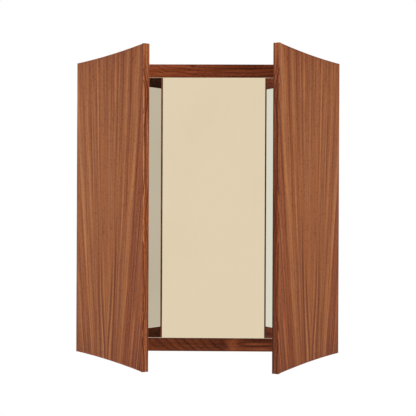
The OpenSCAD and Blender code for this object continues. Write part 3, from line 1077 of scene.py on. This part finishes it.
TOP_RAIL_WALNUT = SolidWalnut(
    FRAME_TIMBER, SteppedRings(), spacing=11 * MM, wander=16 * MM, ring_depth=0.9, sharpness=6.0,
    fall=-1.2, grain=Grain.LEVEL,
    patches=(
        Patch(0.004, -0.13, 0.020, 0.060, 0.08),
        Patch(-0.012, -0.043, 0.003, 0.006, -0.5),
        Patch(-0.008, 0.110, 0.007, 0.080, -0.22),
    ),
)
BOTTOM_RAIL_WALNUT = SolidWalnut(
    RAIL_TIMBER, EyeRings(), spacing=25 * MM, wander=32 * MM, ring_depth=0.8, sharpness=5.0,
    grain=Grain.LEVEL, texture=Texture(mean=0.60, streak=0.16, fibre=0.20, dash=0.20),
    patches=(
        Patch(0.002, 0.072, 0.030, 0.018, 0.38),
        Patch(0.012, 0.140, 0.006, 0.050, 0.34),
        Patch(-0.003, 0.130, 0.004, 0.030, 0.26),
        Patch(0.0035, 0.150, 0.0018, 0.045, -0.40),
        Patch(-0.012, 0.150, 0.005, 0.040, -0.32),
        Patch(0.000, 0.046, 0.030, 0.010, -0.16),
    ),
)
STILE_WALNUT = SolidWalnut(FRAME_TIMBER, StraightRings(), spacing=7 * MM, wander=12 * MM)
# Painted light and shade on the inner faces: the left walnut is the dark, shadowed copy, whose two long
# patches make it lighter at one end and darker at the other, and the right one is the lit copy.
INNER_WALNUT_PAINTED_LIGHT_AND_SHADE = {
    Side.LEFT: SolidWalnut(
        LEFT_INNER_PAINTED_SHADE_TIMBER, DiagonalRings(), spacing=9 * MM, wander=12 * MM, grain=Grain.LEVEL,
        patches=(Patch(0.37, 0.17, 0.10, 1.0, 0.35), Patch(-0.37, 0.17, 0.10, 1.0, -0.12)),
    ),
    Side.RIGHT: SolidWalnut(
        RIGHT_INNER_PAINTED_LIGHT_TIMBER, DiagonalRings(), spacing=9 * MM, wander=12 * MM, ring_depth=1.0,
        grain=Grain.LEVEL,
    ),
}
EDGE_WALNUT = {
    Side.LEFT: SolidWalnut(
        LEFT_EDGE_TIMBER, WavyRings(), spacing=7 * MM, wander=6 * MM, ring_depth=0.9,
        grain=Grain.EDGEWAYS, fleck=0.45,
        patches=(
            Patch(-0.0072, 0.11, 0.0011, 0.050, 0.75),
            Patch(-0.0045, 0.05, 0.0010, 0.030, 0.60),
            Patch(-0.0080, -0.06, 0.0010, 0.060, 0.35),
            Patch(-0.0060, 0.40, 0.0030, 0.030, 0.35),
            Patch(-0.0080, 0.25, 0.0010, 0.050, 0.25),
            Patch(-0.0035, 0.12, 0.0010, 0.060, -0.50),
            Patch(0.0030, 0.29, 0.0014, 0.050, -0.50),
        ),
    ),
    Side.RIGHT: SolidWalnut(
        RIGHT_EDGE_TIMBER, WavyRings(), spacing=9 * MM, wander=6 * MM, ring_depth=0.8,
        fall=0.1, grain=Grain.EDGEWAYS, fleck=0.30,
        patches=(
            Patch(-0.004, 0.42, 0.010, 0.050, 0.40),
            Patch(-0.0085, 0.0, 0.0025, 1.0, 0.18),
            Patch(0.0075, 0.0, 0.0016, 1.0, -0.30),
        ),
    ),
}
BEECH_LEVEL = PlainTimber(BEECH_TIMBER, Grain.LEVEL)
BIRCH_PLY = PlainTimber(PLY_TIMBER, Grain.UPRIGHT, ply=1.5 * MM)
# Both glasses glow with a painted reflection tone past the last bounce.
SILVERING = Silvering(colour=(246, 248, 246), haze=(243, 245, 242), deepest=(229, 220, 202))
GLASS_EDGE = Silvering(
    colour=(250, 240, 222), haze=(244, 234, 216), deepest=(229, 220, 202), gloss=(0.12, 0.25),
)
MIRROR_PAINT = Coating((150, 140, 132), (136, 126, 118), 160, (0.55, 0.7), Relief(0.2, 0.05 * MM))
FOAM_TAPE = Coating((226, 226, 222), (208, 208, 203), 900, (0.8, 0.95), Relief(0.5, 0.1 * MM))
FELT = Coating((86, 68, 56), (58, 45, 37), 1500, (0.9, 1.0), Relief(0.8, 0.3 * MM), sheen=0.4)
BRASS = Metal((226, 186, 112), (186, 142, 76), (0.24, 0.38))
BRASS_SCREW = Metal((220, 178, 104), (176, 132, 70), (0.28, 0.42))
ZINC = Metal((198, 200, 202), (160, 163, 168), (0.30, 0.46))


# ---- geometry ----


@dataclass(frozen=True)
class Easing:
    """How far edges are rounded, and the length and the angle in degrees from which an edge is."""

    reach: float
    shortest: float
    sharpest: float = 40.0
    segments: int = 3


BOARD_EASING = Easing(0.8 * MM, 12 * MM)
PLY_EASING = Easing(0.5 * MM, 12 * MM)
LIPPING_EASING = Easing(0.6 * MM, 12 * MM)
FELT_EASING = Easing(0.4 * MM, 0.1 * MM, 60.0)
BRASS_EASING = Easing(0.25 * MM, 0.1 * MM, 60.0)


def middle_of(node: str) -> Triple:
    """The middle of a CAD node's box."""
    low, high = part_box(node)
    return tuple((low + high) / 2)


def crease(bm: Mesh, sharpest: float = 30.0) -> None:
    """Shades a mesh smooth, except across sharp edges.

    Args:
        bm: The mesh.
        sharpest: The angle in degrees from which an edge is sharp.
    """
    for face in bm.faces:
        face.smooth = True
    for edge in bm.edges:
        edge.smooth = len(edge.link_faces) == 2 and edge.calc_face_angle(0.0) < math.radians(sharpest)


def finished(bm: Mesh, name: str) -> bpy.types.Object:
    """Turns a bmesh into an object of the scene that sits at the origin.

    Args:
        bm: The mesh, which is freed.
        name: The object's name.

    Returns:
        The object.
    """
    mesh = bpy.data.meshes.new(name)
    bm.to_mesh(mesh)
    bm.free()
    piece = bpy.data.objects.new(name, mesh)
    bpy.context.scene.collection.objects.link(piece)
    return piece


def merged_copy(node: str, merging: float = 0.005 * MM, flatness: float = 0.2) -> Mesh:
    """Copies a CAD node's mesh and joins its loose triangles into whole faces.

    Args:
        node: The node's name.
        merging: How near points are that become one.
        flatness: The angle in degrees up to which faces become one.

    Returns:
        The copy.
    """
    bm = bmesh.new()
    bm.from_mesh(frame["nodes"][node].data)
    bmesh.ops.remove_doubles(bm, verts=bm.verts, dist=merging)
    bmesh.ops.dissolve_limit(
        bm, angle_limit=math.radians(flatness), use_dissolve_boundaries=False, verts=bm.verts, edges=bm.edges,
    )
    return bm


def ease_edges(bm: Mesh, easing: Easing) -> None:
    """Rounds the long outer edges of a mesh, as sandpaper does, and marks them for the edge wear.

    Args:
        bm: The mesh.
        easing: How its edges are rounded.
    """
    worn = bm.faces.layers.float.new(EASED_EDGE)
    edges = [
        edge for edge in bm.edges
        if len(edge.link_faces) == 2 and edge.is_convex and edge.calc_length() > easing.shortest
        and edge.calc_face_angle(0.0) > math.radians(easing.sharpest)
    ]
    rounded = bmesh.ops.bevel(
        bm, geom=edges, offset=easing.reach, offset_type="OFFSET", segments=easing.segments, profile=0.5,
        affect="EDGES", clamp_overlap=True, material=-1,
    )
    for face in rounded["faces"]:
        face[worn] = 1.0


@dataclass(frozen=True)
class Dresser:
    """Puts pieces in the scene for the CAD nodes that they stand for.

    Where a side of a piece is covered, its faces that look that way squarely enough are covered.
    """

    body: str
    slot: str
    squarely: float = 0.99

    def stand_in(self, piece: bpy.types.Object, node: str, *materials: Material) -> None:
        """Lets a new piece stand for a CAD node.

        Args:
            piece: The new piece.
            node: The node that it replaces.
            *materials: Its materials, in the order of its faces' numbers.
        """
        for material in materials:
            piece.data.materials.append(material)
        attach(piece, self.body)
        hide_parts(node)
        LOG.info("%s: %d faces", piece.name, len(piece.data.polygons))

    def copy(
        self, node: str, *materials: Material, ending: str = "eased", easing: Easing | None = None,
        covered: Vector | None = None,
    ) -> None:
        """Replaces a CAD node by a dressed copy.

        Args:
            node: The node's name.
            *materials: Its material, and that of its covered side if it has one.
            ending: What the copy's name ends with.
            easing: How its edges are rounded, if they are.
            covered: The direction in which its covered side looks.
        """
        bm = merged_copy(node)
        if easing:
            ease_edges(bm, easing)
        if covered is not None:
            for face in bm.faces:
                face.material_index = int(face.normal.dot(covered) > self.squarely)
        crease(bm)
        self.stand_in(finished(bm, f"{node}_{ending}"), node, *materials)


def paint(node: str, material: Material) -> None:
    """Gives a CAD node its material.

    Args:
        node: The node's name.
        material: The material.
    """
    mesh = frame["nodes"][node].data
    mesh.materials.clear()
    mesh.materials.append(material)
    LOG.info("%s: painted", node)


@dataclass(frozen=True)
class Hinge:
    """The hinge of one shutter, read from its joint, and the pattern space that turns with it.

    In that space X runs from the shutter's hinge edge, Y towards the closed frame and Z up.
    """

    side: Side
    pin: Vector
    open_angle: float
    pin_out: float = 3.8 * MM
    pin_forward: float = 1.0 * MM

    @classmethod
    def of(cls, side: Side) -> "Hinge":
        """Reads a side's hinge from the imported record."""
        joint = next(j for j in frame["joints"] if j["name"] == f"{side.label}_shutter_hinge")
        return cls(side, Vector(joint["pos_m"]), math.radians(-joint["range_deg"][0]))

    @property
    def turn(self) -> float:
        """How far the shutter is turned about its pins, as it stands open."""
        return self.side.value * self.open_angle

    @property
    def inwards(self) -> Vector:
        """The direction in which the open shutter's inner face looks."""
        return Matrix.Rotation(self.turn, 3, "Z") @ Vector((0, 1, 0))

    def pattern(self, graph: Graph, start: Triple = (0, 0, 0), grain: Grain = Grain.UPRIGHT) -> Signal:
        """Coordinates in the shutter's own space, for a pattern that is mirrored from side to side.

        Args:
            graph: The material's graph.
            start: Where the pattern starts in that space.
            grain: The direction of the grain.

        Returns:
            The coordinates.
        """
        local = graph.own(tuple(self.pin), (0, 0, self.turn), (-self.side.value, 1, 1))
        origin = (start[0] + self.pin_out, start[1] + self.pin_forward, start[2])
        return graph.seen_from(local, origin, grain.value)


# ---- sub-assemblies ----


@dataclass
class WallFrame:
    """The walnut frame on the wall: two stiles, two rails and the dowels between them."""

    easing: Easing = BOARD_EASING
    body: str = "frame"

    def build(self) -> None:
        """Builds and dresses the frame's pieces."""
        boards = {
            "left_stile": STILE_WALNUT,
            "right_stile": STILE_WALNUT,
            "top_rail": TOP_RAIL_WALNUT,
            "bottom_rail": BOTTOM_RAIL_WALNUT,
        }
        dresser = Dresser(self.body, "walnut")
        for node, walnut in boards.items():
            dresser.copy(node, walnut.material(node, middle_of(node)), easing=self.easing)
        paint("corner_dowels", BEECH_LEVEL.material("dowel_beech", middle_of("corner_dowels")))


@dataclass
class MirrorPane:
    """A mirror: silvering seen through its face, ground arrises and edges, and a painted back."""

    node: str
    body: str
    facing: Vector
    face_limit: float = 0.999
    arris_depth: float = 1.0 * MM
    arris_rise: float = 0.8 * MM

    def build(self, silver: Material, edge: Material, back: Material) -> None:
        """Builds the pane from its node, with a material for each kind of face.

        Args:
            silver: The material of the face.
            edge: The material of the arrises and edges.
            back: The material of the back.
        """
        bm = merged_copy(self.node)
        self.flatten_arris(bm)
        for face in bm.faces:
            face.material_index = self.kind_of(face)
            face.smooth = False
        pane = finished(bm, f"{self.node}_pane")
        Dresser(self.body, "mirror_glass").stand_in(pane, self.node, silver, edge, back)

    def kind_of(self, face: bmesh.types.BMFace) -> int:
        """Tells the mirror's face, 0, its arrises and edges, 1, and its back, 2, apart.

        Args:
            face: A face of the pane.

        Returns:
            The number of the face's material.
        """
        turned = face.normal.dot(self.facing)
        if abs(turned) <= self.face_limit:
            return 1
        return 0 if turned > 0 else 2

    def flatten_arris(self, bm: Mesh) -> None:
        """Grinds the front arris flatter than the model's plain chamfer, so that it mirrors the room.

        Args:
            bm: The pane's mesh.
        """
        front = max(vert.co.dot(self.facing) for vert in bm.verts)
        for vert in bm.verts:
            depth = front - vert.co.dot(self.facing)
            if self.arris_depth / 2 < depth < self.arris_depth * 1.5:
                vert.co += self.facing * self.arris_rise
        bm.normal_update()


@dataclass(frozen=True)
class Supplies:
    """Materials that sub-assemblies share: the three of a mirror, tape, zinc, brass and brass screws."""

    glass: tuple[Material, ...]
    tape: Material
    zinc: Material
    brass: Material
    screw: Material

    @classmethod
    def make(cls) -> "Supplies":
        """Builds the materials.

        Returns:
            All of them.
        """
        glass = {"silvering": SILVERING, "glass_edge": GLASS_EDGE, "mirror_paint": MIRROR_PAINT}
        plain = {"foam_tape": FOAM_TAPE, "zinc": ZINC, "brass": BRASS, "brass_screw": BRASS_SCREW}
        panes = tuple(finish.material(name) for name, finish in glass.items())
        return cls(panes, *(finish.material(name) for name, finish in plain.items()))


@dataclass
class CentreMirror:
    """The fixed mirror with its tape, its backing board and the board's screws."""

    supplies: Supplies
    easing: Easing = PLY_EASING
    body: str = "frame"

    def build(self) -> None:
        """Builds and dresses the pieces."""
        MirrorPane("centre_mirror", self.body, Vector((0, -1, 0))).build(*self.supplies.glass)
        paint("centre_mirror_tape", self.supplies.tape)
        board = BIRCH_PLY.material("backing_ply", middle_of("backing_board"))
        Dresser(self.body, "plywood").copy("backing_board", board, easing=self.easing)
        paint("backing_board_screws", self.supplies.zinc)


@dataclass
class Hanging:
    """The pair of bevelled cleats that the frame hangs by."""

    supplies: Supplies
    easing: Easing = BOARD_EASING
    body: str = "frame"

    def build(self) -> None:
        """Builds and dresses the cleats."""
        for node in ("frame_cleat", "wall_cleat"):
            beech = BEECH_LEVEL.material(f"{node}_beech", middle_of(node))
            Dresser(self.body, "beech").copy(node, beech, easing=self.easing)
        paint("frame_cleat_screws", self.supplies.zinc)


@dataclass
class Catches:
    """Magnets under wooden plugs in the rails, and felt pads where the shutters come to rest."""

    supplies: Supplies
    easing: Easing = FELT_EASING
    body: str = "frame"

    def build(self) -> None:
        """Builds and dresses the pieces."""
        paint("catch_magnets", self.supplies.zinc)
        paint("magnet_plugs", TOP_RAIL_WALNUT.material("plug_walnut", middle_of("top_rail")))
        Dresser(self.body, "felt").copy("felt_pads", FELT.material("felt"), easing=self.easing)


@dataclass
class HingeSet:
    """The three butt hinges of one side."""

    supplies: Supplies
    hinge: Hinge
    easing: Easing = BRASS_EASING

    def build(self) -> None:
        """Builds and dresses the leaves, pins and screws."""
        side, brass, screw = self.hinge.side.label, self.supplies.brass, self.supplies.screw
        shutter = f"{side}_shutter"
        Dresser("frame", "brass").copy(f"{side}_frame_hinge_leaves", brass, easing=self.easing)
        Dresser(shutter, "brass").copy(f"{shutter}_hinge_leaves", brass, easing=self.easing)
        Dresser("frame", "brass_screw").copy(f"{side}_hinge_pins", screw, easing=self.easing)
        for node in (f"{side}_frame_hinge_screws", f"{shutter}_hinge_screws"):
            paint(node, screw)


@dataclass
class Shutter:
    """One shutter: a veneered board with solid lippings, and a mirror let into its inner face."""

    supplies: Supplies
    hinge: Hinge
    easing: Easing = LIPPING_EASING
    edge_middle: float = -11 * MM

    @property
    def body(self) -> str:
        """The name of the shutter's body."""
        return f"{self.hinge.side.label}_shutter"

    def build(self) -> None:
        """Builds and dresses the shutter's pieces."""
        outer = SHUTTER_VENEER.material(f"{self.body}_veneer", self.hinge)
        self.build_panel(outer)
        self.build_lippings(outer)
        MirrorPane(f"{self.body}_mirror", self.body, self.hinge.inwards).build(*self.supplies.glass)
        paint(f"{self.body}_mirror_tape", self.supplies.tape)
        paint(f"{self.body}_catch_discs", self.supplies.zinc)

    def build_panel(self, outer: Material) -> None:
        """Builds the board, with the fanned veneer outside and a level one inside.

        Args:
            outer: The material of the fanned veneer.
        """
        # The inner walnut is painted shade on the left shutter and painted light on the right one.
        inner = INNER_WALNUT_PAINTED_LIGHT_AND_SHADE[self.hinge.side].material(f"{self.body}_inner_veneer", (0, 0, 0), self.hinge)
        dresser = Dresser(self.body, "walnut_veneer")
        dresser.copy(f"{self.body}_panel", outer, inner, ending="veneered", covered=self.hinge.inwards)

    def build_lippings(self, outer: Material) -> None:
        """Builds the solid lippings on the shutter's edges, which the fanned veneer covers outside.

        Args:
            outer: The material of the fanned veneer.
        """
        dresser = Dresser(self.body, "walnut_lipping")
        upright = EDGE_WALNUT[self.hinge.side]
        level = replace(upright, grain=Grain.LEVEL, patches=())
        for part, walnut in (("free_lipping", upright), ("hinge_lipping", upright), ("end_lippings", level)):
            node = f"{self.body}_{part}"
            wood = walnut.material(node, (0, self.edge_middle, 0), self.hinge)
            dresser.copy(node, wood, outer, easing=self.easing, covered=-self.hinge.inwards)


# ---- studio ----


@dataclass(frozen=True)
class SoftLight:
    """A square soft light that lights the front of the mirror."""

    name: str
    place: Triple
    width: float
    power: float

    def build(self, target: Vector) -> None:
        """Adds the light.

        Args:
            target: What it looks at.
        """
        data = bpy.data.lights.new(self.name, "AREA")
        data.size = self.width
        data.energy = self.power
        lamp = bpy.data.objects.new(self.name, data)
        lamp.location = self.place
        lamp.rotation_euler = (target - Vector(self.place)).to_track_quat("-Z", "Y").to_euler()
        lamp.visible_glossy = False
        bpy.context.scene.collection.objects.link(lamp)


@dataclass
class Studio:
    """The plain room round the mirror: pale floor, soft light, white background and the camera.

    The camera's angles are in degrees: to the left, upwards and clockwise.
    """

    target: Vector
    floor_level: float = -1.15
    floor_radius: float = 1.35
    floor_sides: int = 96
    floor_colour: Rgb = (236, 235, 232)
    floor_rough: float = 0.8
    speck: Rgba = (0.5, 0.5, 0.5, 1.0)
    specks: Layer = Layer(across=60, along=60, detail=2, kept=(0.3, 0.7))
    speckling: float = 0.06
    fading: tuple[float, float] = (0.45, 0.98)
    lights: tuple[SoftLight, ...] = (
        SoftLight("left_light", (-2.4, -2.6, 0.7), 1.6, 40.0),
        SoftLight("right_light", (2.4, -2.6, 0.7), 1.6, 60.0),
    )
    ambient: dict[str, float] = field(default_factory=lambda: {
        "left": 0.86,
        "right": 0.44,
        "front": 0.60,
        "behind": 0.50,
        "below": 0.50,
        "above": 0.66,
    })
    room: dict[str, Rgb] = field(default_factory=lambda: {
        "left": (233, 229, 218),
        "right": (203, 188, 168),
        "front": (233, 214, 184),
        "behind": (250, 250, 248),
        "below": (214, 208, 196),
        "above": (250, 248, 242),
    })
    camera_place: Triple = (0.0588, -3.056, -0.2783)
    focal_px: float = 1081.8
    picture_px: float = 416.0
    sensor_mm: float = 36.0
    yaw: float = 1.0861
    pitch: float = -0.0776
    roll: float = -0.2491

    def build(self) -> None:
        """Builds the whole studio."""
        self.build_floor()
        for light in self.lights:
            light.build(self.target)
        self.build_world()
        self.build_camera()
        bpy.context.scene.view_settings.view_transform = "Standard"

    def build_floor(self) -> None:
        """Lays a round pale floor that fades into the white background at its rim."""
        bm = bmesh.new()
        bmesh.ops.create_circle(bm, cap_ends=True, radius=self.floor_radius, segments=self.floor_sides)
        bmesh.ops.translate(bm, verts=bm.verts, vec=(0, 0, self.floor_level))
        floor = finished(bm, "floor")
        surface = Surface("floor")
        vector = surface.own((0, 0, self.floor_level))
        speckled = surface.noise(vector, self.specks, 0.0, self.speckling)
        surface.set(
            Base_Color=surface.mix(speckled, linear(self.floor_colour), self.speck),
            Roughness=self.floor_rough,
        )
        away = surface.signal("ShaderNodeVectorMath", {0: vector}, "Value", operation="LENGTH")
        rim = surface.remap(away, *(share * self.floor_radius for share in self.fading))
        seen = surface.signal("ShaderNodeLightPath", output="Is Camera Ray") * rim
        white = surface.signal("ShaderNodeEmission", {"Color": WHITE, "Strength": 1.0})
        lit = Signal(surface, surface.shader.outputs[0])
        shown = surface.signal("ShaderNodeMixShader", {0: seen, 1: lit, 2: white})
        surface.feed(surface.output.inputs["Surface"], shown)
        floor.data.materials.append(surface.material)

    def build_world(self) -> None:
        """Makes a white background, plain ambient light, and a pale room for the mirrors to show."""
        world = bpy.data.worlds.new("studio")
        world.use_nodes = True
        world.node_tree.nodes.clear()
        graph = Graph(world.node_tree)
        levels = {wall: (level, level, level, 1.0) for wall, level in self.ambient.items()}
        colours = {wall: linear(colour) for wall, colour in self.room.items()}
        ambient, mirrored, white = (
            graph.signal("ShaderNodeBackground", {"Color": colour, "Strength": 1.0})
            for colour in (self.six_sides(graph, levels), self.six_sides(graph, colours), WHITE)
        )
        rays = ("Is Glossy Ray", "Is Camera Ray", "Is Transmission Ray")
        glossy, camera, passing = (graph.signal("ShaderNodeLightPath", output=ray) for ray in rays)
        walls = graph.signal("ShaderNodeMixShader", {0: glossy, 1: ambient, 2: mirrored})
        clear = graph.math("MAXIMUM", camera, passing)
        final = graph.signal("ShaderNodeMixShader", {0: clear, 1: walls, 2: white})
        graph.node("ShaderNodeOutputWorld", {"Surface": final})
        bpy.context.scene.world = world

    def six_sides(self, graph: Graph, sides: dict[str, Rgba]) -> Signal:
        """Blends six colours over all directions, by the squares of the direction's components.

        Args:
            graph: The world's graph.
            sides: The colour that is seen straight towards each side of the room.

        Returns:
            The colour of the direction.
        """
        seen: Value = BLACK
        direction = graph.signal("ShaderNodeTexCoord", output="Generated")
        pairs = (("left", "right"), ("front", "behind"), ("below", "above"))
        for component, (low, high) in zip(graph.parts(direction), pairs):
            share = component * component
            wall = graph.mix(graph.math("GREATER_THAN", component, 0.0), sides[low], sides[high])
            part = graph.mix(1.0, wall, graph.vector(share, share, share), "MULTIPLY")
            seen = graph.mix(1.0, seen, part, "ADD")
        return seen

    def build_camera(self) -> None:
        """Sets the camera where the picture was taken from."""
        yaw, pitch, roll = (math.radians(angle) for angle in (self.yaw, self.pitch, self.roll))
        upright = Matrix.Rotation(math.radians(90), 3, "X")
        turned = Matrix.Rotation(yaw, 3, "Z") @ upright
        aimed = turned @ Matrix.Rotation(pitch, 3, "X") @ Matrix.Rotation(-roll, 3, "Z")
        data = bpy.data.cameras.new("camera")
        data.sensor_width = self.sensor_mm
        data.lens = self.focal_px / self.picture_px * self.sensor_mm
        camera = bpy.data.objects.new("camera", data)
        camera.matrix_world = Matrix.Translation(self.camera_place) @ aimed.to_4x4()
        bpy.context.scene.collection.objects.link(camera)
        bpy.context.scene.camera = camera


def main() -> None:
    """Builds every sub-assembly and the studio round them."""
    logging.basicConfig(level=logging.INFO, format="%(name)s %(message)s")
    supplies = Supplies.make()
    WallFrame().build()
    CentreMirror(supplies).build()
    Hanging(supplies).build()
    Catches(supplies).build()
    for hinge in (Hinge.of(side) for side in Side):
        HingeSet(supplies, hinge).build()
        Shutter(supplies, hinge).build()
    Studio(Vector(middle_of("centre_mirror"))).build()


if __name__ == "__main__":
    main()
